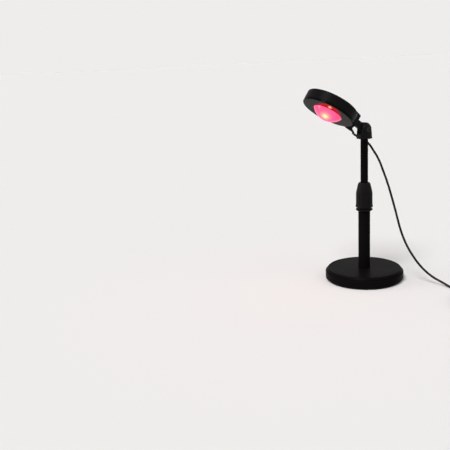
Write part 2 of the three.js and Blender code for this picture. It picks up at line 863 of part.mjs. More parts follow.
// Light chamber: a cone round the light source that carries the filter in its mouth
const lightChamber = turned([
  [chamberThroat, chamberBack],
  [chamberRadius, chamberBack],
  [chamberRadius, filterFront],
  [filterRadius + seatGap, filterFront],
  [filterRadius + seatGap, filterBack - seatGap],
  [chamberMouth, filterBack - seatGap],
], tubeSides);
place(puck, 'light_chamber', lightChamber, bareAluminium());

// Heat sink, board and light source
const heatSink = turned([
  [0, sinkBack],
  [sinkRadius, sinkBack],
  [sinkRadius, boardFront],
  [sinkRadius - sinkRim, boardFront],
  [sinkRadius - sinkRim, sinkFront],
  [0, sinkFront],
], tubeSides);
const boardScrewCircle = (chamberRadius + boardRadius) / 2;
const boardScrewSides = [['board_screw_left', -1], ['board_screw_right', 1]];
const boardHoles = (radius) => boardScrewSides.map(([, side]) => rod(radius, sinkBack - cutOverrun,
  boardFront + cutOverrun, screwSides).translate(side * boardScrewCircle, 0, 0));
place(puck, 'heat_sink', cut(heatSink, ...boardHoles(smallScrewRadius)), bareAluminium());
const board = rod(boardRadius, boardBack, boardFront, tubeSides);
place(puck, 'led_board', cut(board, ...boardHoles(smallScrewRadius)), boardWhite());
const chip = join(
  block(chipSize, chipSize, chipThickness).translate(0, 0, chamberBack + chipThickness / 2),
  rod(chipDome, chamberBack, chamberBack + chipThickness + chipDomeHeight, boreSides),
);
place(puck, 'led_chip', chip, phosphor());

for (const [name, side] of boardScrewSides) {
  const shape = screw(smallScrewRadius - runGap, boardScrewLength, smallScrewHead - runGap,
    smallScrewHeadHeight).rotateX(Math.PI);
  place(puck, name, shape, zincSteel()).position.set(side * boardScrewCircle, 0, boardFront + seatGap);
}

for (let i = 0; i < housingScrews; i += 1) {
  const angle = Math.PI / 2 + 2 * Math.PI * i / housingScrews;
  const piece = place(puck, `housing_screw_${i + 1}`,
    screw(smallScrewRadius, housingScrewLength, smallScrewHead, smallScrewHeadHeight), zincSteel());
  piece.position.set(postCircle * Math.cos(angle), postCircle * Math.sin(angle), headBack + smallScrewHeadHeight);
}

// Two screws from inside the housing into the bracket
const screwSeat = Math.sqrt(innerRadius ** 2 - (bracketScrewSpread + smallScrewHead) ** 2);
for (const [name, side] of [['bracket_screw_left', -1], ['bracket_screw_right', 1]]) {
  const shape = alongY(screw(smallScrewRadius, bracketScrewLength, smallScrewHead, smallScrewHeadHeight)
    .rotateX(Math.PI));
  place(puck, name, shape, zincSteel())
    .position.set(side * bracketScrewSpread, -screwSeat + seatGap, bracketScrewForward);
}

// Insulated lead from the strain relief, through the block and the rim, to the board
const leadStart = blockNear + reliefStem + seatGap - headReach;
const leadTurn = -headRadius - leadBend;
const leadEnd = -chamberRadius - innerLeadRadius;
const innerLead = new THREE.CatmullRomCurve3([
  [leadStart, exitForward],
  [leadStart + innerLeadRadius, exitForward],
  [leadTurn - innerLeadRadius, exitForward - innerLeadRadius / 2],
  [leadTurn, exitForward - leadBend],
  [leadTurn, leadForward + leadBend],
  [leadTurn + innerLeadRadius, leadForward + innerLeadRadius / 2],
  [leadTurn + leadBend, leadForward],
  [-innerRadius, leadForward],
  [-sinkRadius, leadForward],
  [leadEnd, leadForward],
].map(([y, z]) => new THREE.Vector3(0, y, z)), false, 'centripetal');
place(puck, 'head_lead', tubeAlong(innerLead, innerLeadRadius, 24), whitePlastic());

// The cord runs from the strain relief along the arm, past the knuckle and down to the ground
lamp.updateMatrixWorld(true);
const exitStart = blockNear - reliefLength + reliefInset;
const cordExit = head.localToWorld(new THREE.Vector3(0, exitStart, exitForward));
const exitStraight = head.localToWorld(new THREE.Vector3(0, blockNear - reliefLength, exitForward));

function fromSight([right, away, height]) {
  const point = new THREE.Vector3(right, away, height);
  return point.applyAxisAngle(new THREE.Vector3(0, 0, 1), sightAngle);
}

function smooth(points) {
  return new THREE.CatmullRomCurve3(points, false, 'centripetal');
}

// The part of a curve between two lengths measured along it, as a curve of its own
function between(curve, from, to) {
  const total = curve.getLength();
  const count = Math.max(4, Math.ceil((to - from) / (2 * cordRadius)));
  const points = Array.from({ length: count + 1 }, (_, i) => (
    curve.getPointAt((from + (to - from) * i / count) / total)));
  return smooth(points);
}

function lengthWhere(curve, reached) {
  const total = curve.getLength();
  const samples = 2000;
  for (let i = 0; i <= samples; i += 1) {
    if (reached(curve.getPointAt(i / samples))) return total * i / samples;
  }
  return total;
}

function layCord(name, curve) {
  const steps = Math.ceil(curve.getLength() / (4 * cordRadius));
  place(lamp, name, tubeAlong(curve, cordRadius, steps), blackRubber());
  return curve.getLength();
}

const [switchRight, switchAway] = switchPlace;
const switchHalf = switchLength / 2 + switchGlandLength;
const switchIn = [switchRight, switchAway + switchHalf - cordInset, switchParting];
const switchOut = [switchRight, switchAway - switchHalf + cordInset, switchParting];
const hanging = smooth([
  cordExit,
  exitStraight,
  ...dropRoute.map((point) => new THREE.Vector3(...point)),
  ...floorRoute.map(fromSight),
  fromSight([switchRight, switchAway + switchHalf, switchParting]),
  fromSight(switchIn),
]);
hanging.arcLengthDivisions = 2000;
const leadLength = lengthWhere(hanging, (point) => point.y > 0 && point.z < leadEndHeight);
const splitLength = lengthWhere(hanging, (point) => point.z < dropSplitHeight);
const floorLength = lengthWhere(hanging, (point) => point.z < cordRest + seatGap);
let cordTotal = 0;
cordTotal += layCord('cord_lead', between(hanging, 0, leadLength));
cordTotal += layCord('cord_upper_drop', between(hanging, leadLength + seatGap, splitLength));
cordTotal += layCord('cord_lower_drop', between(hanging, splitLength + seatGap, floorLength));
cordTotal += layCord('cord_floor', between(hanging, floorLength + seatGap, hanging.getLength()));

// Coil: the cord spirals in and out, and climbs a layer where the spiral reverses
const coilLift = tieThickness + seatGap + cordRadius;
const layerTurns = coilTurns / coilLayers;
const layerPitch = 2 * cordRadius + seatGap + seatGap;
const [coilRight, coilAway] = coilPlace;

function coilPoint(turn) {
  const layer = Math.min(coilLayers - 1, Math.floor(turn / layerTurns));
  const within = turn - layer * layerTurns;
  const inwards = layer % 2 === 0 ? within : layerTurns - within;
  const radius = coilOuter - coilPitch * inwards;
  let height = 0;
  for (let i = 1; i < coilLayers; i += 1) {
    const climbed = THREE.MathUtils.smoothstep(turn, i * layerTurns - 0.25, i * layerTurns + 0.25);
    height += layerPitch * climbed;
  }
  const angle = Math.PI - 2 * Math.PI * turn;
  return [radius * Math.cos(angle), radius * Math.sin(angle), coilLift + height];
}

const coilCount = Math.round(coilTurns * coilSteps);
const coilLoops = Array.from({ length: coilCount + 1 }, (_, i) => coilPoint(i / coilSteps));
const coilTop = coilLoops[coilCount][2];
const coilLocal = [
  [-coilOuter, -coilTail, coilLift],
  [-coilOuter, -coilTail / 2, coilLift],
  ...coilLoops,
  [coilOuter, -coilTail / 2, coilTop],
  [coilOuter, -coilTail, coilTop],
];
const coilCurve = smooth(coilLocal.map(([x, y, z]) => fromSight([coilRight + x, coilAway + y, z])));
coilCurve.arcLengthDivisions = 2000;
place(lamp, 'cord_coil', tubeAlong(coilCurve, cordRadius, coilCount + 2, coilSides), blackRubber());
cordTotal += coilCurve.getLength();

let coilGap = Infinity;
for (let i = 0; i <= coilCount; i += 1) {
  for (let j = i + coilSteps / 2; j <= coilCount; j += 1) {
    const [a, b] = [coilLoops[i], coilLoops[j]];
    coilGap = Math.min(coilGap, Math.hypot(a[0] - b[0], a[1] - b[1], a[2] - b[2]) - 2 * cordRadius);
  }
}
console.log(`least gap between the coil's loops ${coilGap.toFixed(2)} mm`);

// Tie: a band round all loops on the coil's far side, as wide and high as they need
const tied = coilLoops.filter(([x, y]) => y > 0 && Math.abs(x) < tieWidth / 2 + cordRadius);
const tieLow = Math.min(...tied.map((p) => p[1])) - cordRadius - seatGap;
const tieFar = Math.max(...tied.map((p) => Math.hypot(p[0], p[1]))) + cordRadius + seatGap;
const tieFloor = coilLift - cordRadius - seatGap;
const tieCeiling = coilTop + cordRadius + seatGap;

function tieRing() {
  const width = tieFar - tieLow;
  const height = tieCeiling - tieFloor;
  const outer = slab(roundedRectangle(width + 2 * tieThickness, height + 2 * tieThickness, tieRound), tieWidth);
  const inner = slab(roundedRectangle(width, height, tieRound - tieThickness), tieWidth + 2 * cutOverrun);
  inner.translate(0, 0, -cutOverrun);
  const ring = cut(outer, inner).translate((tieFar + tieLow) / 2, (tieCeiling + tieFloor) / 2, -tieWidth / 2);
  return ring.rotateX(Math.PI / 2).rotateZ(Math.PI / 2);
}

const coilSpot = new THREE.Group();
coilSpot.position.copy(fromSight([coilRight, coilAway, 0]));
coilSpot.rotation.z = sightAngle;
lamp.add(coilSpot);
place(coilSpot, 'coil_tie', tieRing(), blackRubber());

// Link from the switch to the coil, and tail from the coil to the plug
const [plugRight, plugAway] = plugPlace;
const plugMiddle = plugHeight / 2;
const link = smooth([
  fromSight(switchOut),
  fromSight([switchRight, switchAway - switchHalf, switchParting]),
  ...linkRoute.map(fromSight),
  fromSight([coilRight - coilOuter, coilAway - 3 * coilTail, coilLift]),
  fromSight([coilRight - coilOuter, coilAway - coilTail - seatGap, coilLift]),
]);
const tail = smooth([
  fromSight([coilRight + coilOuter, coilAway - coilTail - seatGap, coilTop]),
  ...tailRoute.map(fromSight),
  fromSight([plugRight, plugAway + plugTailLength, plugMiddle]),
  fromSight([plugRight, plugAway + plugTailLength - cordInset, plugMiddle]),
]);
cordTotal += layCord('cord_link', link);
cordTotal += layCord('cord_tail', tail);
console.log(`cord ${cordTotal.toFixed(0)} mm`);

// Switch on the cord: two shells parted at the cord's height, with a button on top
const switchSpot = new THREE.Group();
switchSpot.position.copy(fromSight([switchRight, switchAway, 0]));
switchSpot.rotation.z = sightAngle;
lamp.add(switchSpot);

function switchBody() {
  const outline = roundedRectangle(switchWidth, switchLength, switchRound);
  const glands = alongY(rod(switchGland, -switchHalf, switchHalf, screwSides)).translate(0, 0, switchParting);
  const room = roundedRectangle(switchWidth - 2 * switchWall, switchLength - 2 * switchWall, switchBevel);
  const inside = slab(room, switchHeight - 2 * switchWall).translate(0, 0, switchWall);
  const bore = alongY(rod(cordBore, -switchHalf - cutOverrun, switchHalf + cutOverrun, screwSides));
  return cut(join(slab(outline, switchHeight, switchBevel), glands), inside, bore.translate(0, 0, switchParting));
}

function layer(geometry, from, to) {
  const slice = block(2 * switchLength, 2 * switchLength, to - from).translate(0, 0, (from + to) / 2);
  return common(geometry, slice);
}

const buttonHole = slab(roundedRectangle(buttonWidth + 2 * runGap, buttonLength + 2 * runGap,
  buttonRound + runGap), switchHeight).translate(0, 0, switchHeight / 2);
place(switchSpot, 'switch_lower', layer(switchBody(), -cutOverrun, switchParting), blackPlastic());
place(switchSpot, 'switch_upper',
  cut(layer(switchBody(), switchParting + seatGap, switchHeight + cutOverrun), buttonHole), blackPlastic());

const flangeTopHeight = switchHeight - switchWall - seatGap;
const buttonCap = slab(roundedRectangle(buttonWidth, buttonLength, buttonRound),
  switchHeight + buttonRise - flangeTopHeight + buttonFlange, buttonFlange / 2);
const buttonFoot = slab(roundedRectangle(buttonWidth + 2 * buttonFlange, buttonLength + 2 * buttonFlange,
  buttonRound), buttonFlange);
place(switchSpot, 'switch_button',
  join(buttonCap, buttonFoot).translate(0, 0, flangeTopHeight - buttonFlange), blackPlastic());

// Plug: moulded body with a tapered tail, steel shell and tongue, pointing away from the coil
const plugSpot = new THREE.Group();
plugSpot.position.copy(fromSight([plugRight, plugAway, plugMiddle]));
plugSpot.rotation.z = sightAngle + Math.PI;
lamp.add(plugSpot);

function bar(width, height, from, to, round) {
  const shape = round ? roundedRectangle(width, height, round) : roundedRectangle(width, height, plugShellWall);
  return alongY(slab(shape, to - from)).translate(0, from, 0);
}

function plugBody() {
  const shape = slab(roundedRectangle(plugWidth, plugHeight, plugRound), plugLength, plugBevel);
  const tailShape = alongY(turned([
    [0, -plugTailLength],
    [plugTailTip, -plugTailLength],
    [plugTailRadius, 0],
    [plugTailRadius, plugBevel * 2],
    [0, plugBevel * 2],
  ], screwSides));
  const bore = alongY(rod(cordBore, -plugTailLength - cutOverrun, seatGap + cordInset - plugTailLength, screwSides));
  const pocket = bar(plugShellWidth + 2 * seatGap, plugShellHeight + 2 * seatGap,
    plugLength - plugPocket, plugLength + cutOverrun);
  return cut(join(alongY(shape), tailShape), bore, pocket);
}

const shellFrom = plugLength - plugPocket + seatGap;
const shellTo = plugLength + plugShellLength;
const shellInsideWidth = plugShellWidth - 2 * plugShellWall;
const shellInsideHeight = plugShellHeight - 2 * plugShellWall;
place(plugSpot, 'usb_plug_body', plugBody(), blackPlastic());
place(plugSpot, 'usb_plug_shell', cut(
  bar(plugShellWidth, plugShellHeight, shellFrom, shellTo),
  bar(shellInsideWidth, shellInsideHeight, shellFrom - cutOverrun, shellTo + cutOverrun),
), zincSteel());
const tongue = bar(shellInsideWidth - 2 * seatGap, plugTongueHeight, shellFrom, shellTo - plugTongueRecess);
place(plugSpot, 'usb_plug_tongue', tongue, whitePlastic())
  .position.z = (shellInsideHeight - plugTongueHeight) / 2 - seatGap;

export default lamp;
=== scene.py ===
import json
import math
import bpy
from mathutils import Matrix, Vector


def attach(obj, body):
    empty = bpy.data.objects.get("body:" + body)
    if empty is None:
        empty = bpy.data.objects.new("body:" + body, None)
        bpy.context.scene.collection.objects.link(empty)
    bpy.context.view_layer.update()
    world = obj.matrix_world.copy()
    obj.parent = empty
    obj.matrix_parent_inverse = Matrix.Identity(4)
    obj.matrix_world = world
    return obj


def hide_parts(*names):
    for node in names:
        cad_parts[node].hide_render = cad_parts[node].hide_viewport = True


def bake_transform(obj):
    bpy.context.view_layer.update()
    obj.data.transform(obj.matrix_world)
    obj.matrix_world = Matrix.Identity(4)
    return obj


# looks of the desk lamp: sizes are in millimetres and angles in degrees, unless a note says otherwise
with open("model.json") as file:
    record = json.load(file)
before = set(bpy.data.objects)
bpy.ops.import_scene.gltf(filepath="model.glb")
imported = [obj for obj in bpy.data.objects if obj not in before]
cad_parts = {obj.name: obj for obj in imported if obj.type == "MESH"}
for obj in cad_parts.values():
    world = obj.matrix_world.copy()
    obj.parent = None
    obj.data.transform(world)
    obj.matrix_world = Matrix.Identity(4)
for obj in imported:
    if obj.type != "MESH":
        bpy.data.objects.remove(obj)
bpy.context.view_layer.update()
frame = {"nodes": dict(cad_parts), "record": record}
print("frame loaded:", len(frame["nodes"]), "solids")

mm = 0.001
mergeDistance = 1e-6  # metres, for doubled corners
axisRadius = 0.001  # a ring of this radius is closed to a point
flatAngle = 1  # faces of a solid that meet within this angle are one flat face

# the lamp's own frames: along the arm, at the head's middle, and turned to the camera's sight
lampFrame = {"pivotHeight": 208, "armTilt": math.radians(35.1), "headReach": 64.9,
             "sightAngle": math.radians(49.5)}
armMatrix = (Matrix.Translation((0, 0, lampFrame["pivotHeight"] * mm))
             @ Matrix.Rotation(math.pi - lampFrame["armTilt"], 4, "X"))
headMatrix = armMatrix @ Matrix.Translation((0, lampFrame["headReach"] * mm, 0))
sightMatrix = Matrix.Rotation(lampFrame["sightAngle"], 4, "Z")


# camera: fitted to the tubes, the base's rims and the head; its place and clip are in metres
cameraView = {"place": (0.7242, -0.6185, 0.3150), "right": (0.4929, 0.8688, -0.0466),
              "up": (-0.1852, 0.1571, 0.9701), "lens": 56, "sensor": 36, "clip": (0.05, 20)}


def makeCamera():
    data = bpy.data.cameras.new("camera")
    data.lens, data.sensor_width = cameraView["lens"], cameraView["sensor"]
    data.clip_start, data.clip_end = cameraView["clip"]
    camera = bpy.data.objects.new("camera", data)
    bpy.context.scene.collection.objects.link(camera)
    right = Vector(cameraView["right"]).normalized()
    up = Vector(cameraView["up"])
    up = (up - right * up.dot(right)).normalized()
    turn = Matrix((right, up, right.cross(up))).transposed().to_4x4()
    camera.matrix_world = Matrix.Translation(cameraView["place"]) @ turn
    bpy.context.scene.camera = camera


makeCamera()
print("camera placed")


# a maths node whose inputs are numbers or other nodes' outputs
def addMath(tree, operation, *values):
    node = tree.nodes.new("ShaderNodeMath")
    node.operation = operation
    for socket, value in zip(node.inputs, values):
        if isinstance(value, bpy.types.NodeSocket):
            tree.links.new(value, socket)
        else:
            socket.default_value = value
    return node.outputs[0]


# shared material effect: a fine moulded or sprayed grain that varies tone, gloss and height
grainNoise = {"fineDetail": 3, "broadScale": 45, "broadDetail": 4, "middle": 0.5}


def makeGrainGroup():
    group = bpy.data.node_groups.new("surfaceGrain", "ShaderNodeTree")
    face = group.interface
    for way, label, kind in (("INPUT", "Vector", "Vector"), ("INPUT", "Scale", "Float"),
                             ("INPUT", "Tone", "Float"), ("INPUT", "Gloss", "Float"),
                             ("INPUT", "Roughness", "Float"), ("INPUT", "Color", "Color"),
                             ("OUTPUT", "Color", "Color"), ("OUTPUT", "Roughness", "Float"),
                             ("OUTPUT", "Height", "Float")):
        face.new_socket(label, in_out=way, socket_type="NodeSocket" + kind)
    nodes, links = group.nodes, group.links
    inside = nodes.new("NodeGroupInput")
    outside = nodes.new("NodeGroupOutput")

    fine = nodes.new("ShaderNodeTexNoise")
    fine.inputs["Detail"].default_value = grainNoise["fineDetail"]
    links.new(inside.outputs["Vector"], fine.inputs["Vector"])
    links.new(inside.outputs["Scale"], fine.inputs["Scale"])
    links.new(fine.outputs["Fac"], outside.inputs["Height"])

    broad = nodes.new("ShaderNodeTexNoise")
    broad.inputs["Scale"].default_value = grainNoise["broadScale"]
    broad.inputs["Detail"].default_value = grainNoise["broadDetail"]
    links.new(inside.outputs["Vector"], broad.inputs["Vector"])
    centred = addMath(group, "SUBTRACT", broad.outputs["Fac"], grainNoise["middle"])

    # tone: the colour times one plus or minus a share of the broad noise
    toned = addMath(group, "MULTIPLY_ADD", centred, inside.outputs["Tone"], 1)
    shade = nodes.new("ShaderNodeVectorMath")
    shade.operation = "SCALE"
    links.new(inside.outputs["Color"], shade.inputs[0])
    links.new(toned, shade.inputs["Scale"])
    links.new(shade.outputs[0], outside.inputs["Color"])

    # gloss: the roughness plus a share of the same noise
    glossed = addMath(group, "MULTIPLY_ADD", centred, inside.outputs["Gloss"],
                      inside.outputs["Roughness"])
    links.new(glossed, outside.inputs["Roughness"])
    return group


grainGroup = makeGrainGroup()
reliefDepth = 0.1
glassGrain = {"grain": 60, "bump": 0.01, "tone": 0.04, "gloss": 0.02}
glassIndex = 1.5


def makeFinish(name, color, roughness, metallic=0, grain=900, bump=0.1, tone=0.2, gloss=0.1,
               specular=0.5):
    material = bpy.data.materials.new(name)
    material.use_nodes = True
    nodes, links = material.node_tree.nodes, material.node_tree.links
    shader = nodes["Principled BSDF"]
    shader.inputs["Metallic"].default_value = metallic
    shader.inputs["Specular IOR Level"].default_value = specular
    place = nodes.new("ShaderNodeTexCoord")
    effect = nodes.new("ShaderNodeGroup")
    effect.node_tree = grainGroup
    for label, value in (("Color", (*color, 1)), ("Roughness", roughness), ("Scale", grain),
                         ("Tone", tone), ("Gloss", gloss)):
        effect.inputs[label].default_value = value
    links.new(place.outputs["Object"], effect.inputs["Vector"])
    links.new(effect.outputs["Color"], shader.inputs["Base Color"])
    links.new(effect.outputs["Roughness"], shader.inputs["Roughness"])
    relief = nodes.new("ShaderNodeBump")
    relief.inputs["Strength"].default_value = bump
    relief.inputs["Distance"].default_value = reliefDepth * mm
    links.new(effect.outputs["Height"], relief.inputs["Height"])
    links.new(relief.outputs["Normal"], shader.inputs["Normal"])
    return material


def makeGlass(name, color, roughness):
    material = makeFinish(name, color, roughness, **glassGrain)
    shader = material.node_tree.nodes["Principled BSDF"]
    shader.inputs["Transmission Weight"].default_value = 1
    shader.inputs["IOR"].default_value = glassIndex
    return material


# the lit lens: pink all over, with a painted hot spot fixed on one side of the dome, where the light
# source shows through;
# places are in the head's frame, and each stop is a distance from the painted hot spot with its colour
lensGlow = {"color": (0.06, 0.003, 0.01), "roughness": 0.12, "specular": 0.1,
            "paintedHotSpot": (7.2, 6.0, 21.5), "reach": 26,
            "stops": ((0, (1.0, 1.3, 0.62)), (2.6, (1.0, 0.8, 0.41)), (5, (1.0, 0.35, 0.35)),
                      (9, (1.0, 0.13, 0.35)), (16, (1.0, 0.105, 0.27)), (26, (0.95, 0.085, 0.19))),
            # a painted glint: a pale spot near the dome's edge that stands for a highlight
            "paintedGlint": (3.2, 18.0, 14.6), "paintedGlintRadius": 3.5, "paintedGlintColor": (1.0, 0.32, 0.5),
            # a painted reflection: a bright spot on the lens that only rays other than camera rays meet,
            # so that the glossy ring shows a glint
            "mirrorGain": (10, 1, 1), "paintedReflectionSpot": (13.5, 10.1, 16.4), "paintedReflectionRadius": 3.6,
            "paintedReflectionColor": (26, 15, 9)}


def makeLitGlass():
    glow = lensGlow
    material = makeFinish("litGlass", glow["color"], glow["roughness"], specular=glow["specular"],
                          **glassGrain)
    tree = material.node_tree
    nodes, links = tree.nodes, tree.links
    shader = nodes["Principled BSDF"]
    place = nodes.new("ShaderNodeTexCoord")

    def awayFrom(point):
        away = nodes.new("ShaderNodeVectorMath")
        away.operation = "DISTANCE"
        links.new(place.outputs["Object"], away.inputs[0])
        away.inputs[1].default_value = headMatrix @ (Vector(point) * mm)
        return away.outputs["Value"]

    # 1 at a point, falling to 0 at the radius
    def nearPoint(point, radius):
        mask = nodes.new("ShaderNodeMapRange")
        mask.interpolation_type = "SMOOTHSTEP"
        links.new(awayFrom(point), mask.inputs["Value"])
        mask.inputs["From Max"].default_value = radius * mm
        mask.inputs["To Min"].default_value = 1
        mask.inputs["To Max"].default_value = 0
        return mask.outputs["Result"]

    # a Mix node set to colours has its own sockets: 6 and 7 in, 2 out
    def mixColors(share, first, second, blend="MIX"):
        mixed = nodes.new("ShaderNodeMix")
        mixed.data_type, mixed.blend_type = "RGBA", blend
        mixed.inputs[0].default_value = 1
        if share:
            links.new(share, mixed.inputs[0])
        for socket, color in ((mixed.inputs[6], first), (mixed.inputs[7], second)):
            if isinstance(color, tuple):
                socket.default_value = (*color, 1)
            else:
                links.new(color, socket)
        return mixed.outputs[2]

    ramp = nodes.new("ShaderNodeValToRGB")
    stops = ramp.color_ramp.elements
    for i, (radius, color) in enumerate(glow["stops"]):
        stop = stops[i] if i < 2 else stops.new(radius / glow["reach"])  # a new ramp has two stops
        stop.position, stop.color = radius / glow["reach"], (*color, 1)
    ramp.color_ramp.interpolation = "B_SPLINE"
    # the glow's colour by distance from the painted hot spot
    links.new(addMath(tree, "DIVIDE", awayFrom(glow["paintedHotSpot"]), glow["reach"] * mm), ramp.inputs["Fac"])

    # the camera sees the glow with a painted glint, a pale spot near the dome's edge that stands for a
    # highlight
    shown = mixColors(nearPoint(glow["paintedGlint"], glow["paintedGlintRadius"]), ramp.outputs["Color"],
                      glow["paintedGlintColor"])
    # the glossy ring and the floor meet far more light than the picture can hold
    lifted = mixColors(None, shown, glow["mirrorGain"], "MULTIPLY")
    # painted reflection: a bright spot added for rays other than camera rays, so that the glossy ring
    # mirrors a glint
    withPaintedReflection = mixColors(nearPoint(glow["paintedReflectionSpot"], glow["paintedReflectionRadius"]), lifted,
                         glow["paintedReflectionColor"])
    rays = nodes.new("ShaderNodeLightPath")
    glowing = mixColors(rays.outputs["Is Camera Ray"], withPaintedReflection, shown)
    links.new(glowing, shader.inputs["Emission Color"])
    shader.inputs["Emission Strength"].default_value = 1
    return material


# finishes: colour, roughness and what differs from a plain grain
finishRows = {
    "satinBlackPaint": ((0.0042, 0.0037, 0.0037), 0.38, {"grain": 1500, "bump": 0.14, "specular": 0.01}),
    "blackAluminium": ((0.0042, 0.0037, 0.0037), 0.42, {"grain": 1800, "bump": 0.12, "specular": 0.035}),
    "blackMoulding": ((0.0048, 0.0043, 0.0043), 0.45, {"grain": 1300, "bump": 0.25, "specular": 0.06}),
    "blackGloss": ((0.004, 0.0035, 0.0035), 0.12,
                   {"grain": 1300, "bump": 0.006, "gloss": 0.03, "specular": 0.016}),
    "blackRubber": ((0.008, 0.0075, 0.0075), 0.7, {"grain": 700, "bump": 0.3, "specular": 0.15}),
    "blackSteel": ((0.03, 0.03, 0.031), 0.36, {"metallic": 1, "grain": 1200, "bump": 0.08}),
    "cordJacket": ((0.007, 0.0065, 0.0065), 0.45, {"grain": 500, "bump": 0.08, "specular": 0.15}),
    "castIron": ((0.1, 0.1, 0.1), 0.75, {"metallic": 0.6, "grain": 500, "bump": 0.6, "tone": 0.5}),
    "zincSteel": ((0.55, 0.55, 0.56), 0.35, {"metallic": 1, "grain": 1200, "bump": 0.08}),
    "whiteMoulding": ((0.72, 0.71, 0.67), 0.5, {"grain": 800, "bump": 0.08, "tone": 0.08}),
    "turnedAluminium": ((0.75, 0.76, 0.77), 0.32, {"metallic": 1, "grain": 1500, "bump": 0.1}),
    "boardMask": ((0.8, 0.8, 0.77), 0.4, {"grain": 600, "bump": 0.05, "tone": 0.05}),
    "phosphor": ((0.85, 0.65, 0.12), 0.6, {"grain": 900, "bump": 0.1, "tone": 0.1}),
}
finishes = {name: makeFinish(name, color, roughness, **settings)
            for name, (color, roughness, settings) in finishRows.items()}
finishes["litGlass"] = makeLitGlass()
finishes["redGlass"] = makeGlass("redGlass", (0.95, 0.2, 0.4), 0.1)
slotFinish = {"black_paint": "satinBlackPaint", "black_aluminium": "blackAluminium",
              "black_plastic": "blackMoulding", "black_rubber": "blackRubber",
              "cord_jacket": "cordJacket", "cast_iron": "castIron", "zinc_steel": "zincSteel",
              "white_plastic": "whiteMoulding", "bare_aluminium": "turnedAluminium",
              "board": "boardMask", "phosphor": "phosphor", "clear_glass": "litGlass",
              "red_glass": "redGlass", "black_steel": "blackSteel"}
nodeSlot = {part["node"]: part["material_slot"] for part in frame["record"]["subparts"]}
for nodeName, node in frame["nodes"].items():
    node.data.materials.clear()
    node.data.materials.append(finishes[slotFinish[nodeSlot[nodeName]]])
print("finishes made:", len(finishes))


def deselectAll():
    if bpy.context.object and bpy.context.object.mode != "OBJECT":
        bpy.ops.object.mode_set(mode="OBJECT")
    bpy.ops.object.select_all(action="DESELECT")


def selectOnly(piece):
    deselectAll()
    piece.select_set(True)
    bpy.context.view_layer.objects.active = piece


def applyModifier(piece, kind, **settings):
    selectOnly(piece)
    modifier = piece.modifiers.new(kind.lower(), kind)
    for key, value in settings.items():
        setattr(modifier, key, value)
    bpy.ops.object.modifier_apply(modifier=modifier.name)


# puts a piece in its place, smooths it, gives it the finish of its slot or the one named, joins it to
# its body and hides the solids it replaces
def dress(piece, body, slotName, *replaced, angle=30, place=None, finish=None, weighted=True):
    selectOnly(piece)
    if place is not None:
        piece.data.transform(place)
    bpy.ops.object.shade_smooth_by_angle(angle=math.radians(angle))
    if weighted:  # flat faces stay flat next to eased edges
        applyModifier(piece, "WEIGHTED_NORMAL", keep_sharp=True)
    deselectAll()
    piece.data.materials.clear()
    piece.data.materials.append(finishes[finish or slotFinish[slotName]])
    if body:
        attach(piece, body)
    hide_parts(*replaced)


def easeEdges(piece, width, angle=30):
    applyModifier(piece, "BEVEL", width=width * mm, segments=2, limit_method="ANGLE",
                  angle_limit=math.radians(angle), harden_normals=False, use_clamp_overlap=True)
    return piece


# in edit mode: merges doubled corners and turns the faces outwards, then leaves edit mode
def closeMesh():
    bpy.ops.mesh.select_all(action="SELECT")
    bpy.ops.mesh.remove_doubles(threshold=mergeDistance)
    bpy.ops.mesh.normals_make_consistent(inside=False)
    bpy.ops.object.mode_set(mode="OBJECT")


# a copy of a solid, with its corners merged, its flat faces made whole and its edges eased
def fromSolid(nodeName, name, width):
    piece = bpy.data.objects.new(name, frame["nodes"][nodeName].data.copy())
    piece.data.name = name
    bpy.context.scene.collection.objects.link(piece)
    selectOnly(piece)
    bpy.ops.object.mode_set(mode="EDIT")
    bpy.ops.mesh.select_all(action="SELECT")
    bpy.ops.mesh.remove_doubles(threshold=mergeDistance)
    bpy.ops.mesh.dissolve_limited(angle_limit=math.radians(flatAngle))
    bpy.ops.object.mode_set(mode="OBJECT")
    return easeEdges(piece, width)


# pieces that keep their solid's shape: node, name, body and the width of the eased edges
def dressSolids(rows):
    for nodeName, pieceName, bodyName, width in rows:
        dress(fromSolid(nodeName, pieceName, width), bodyName, nodeSlot[nodeName], nodeName, angle=40)


# the tie, the switch and the plug on the cord
dressSolids((
    ("coil_tie", "coilTie", "stand", 0.25),
    ("switch_lower", "switchLower", "stand", 0.3),
    ("switch_upper", "switchUpper", "stand", 0.3),
    ("switch_button", "switchButton", "button", 0.4),
    ("usb_plug_body", "plugBody", "stand", 0.4),
    ("usb_plug_shell", "plugShell", "stand", 0.08),
))
print("pieces on the cord made")


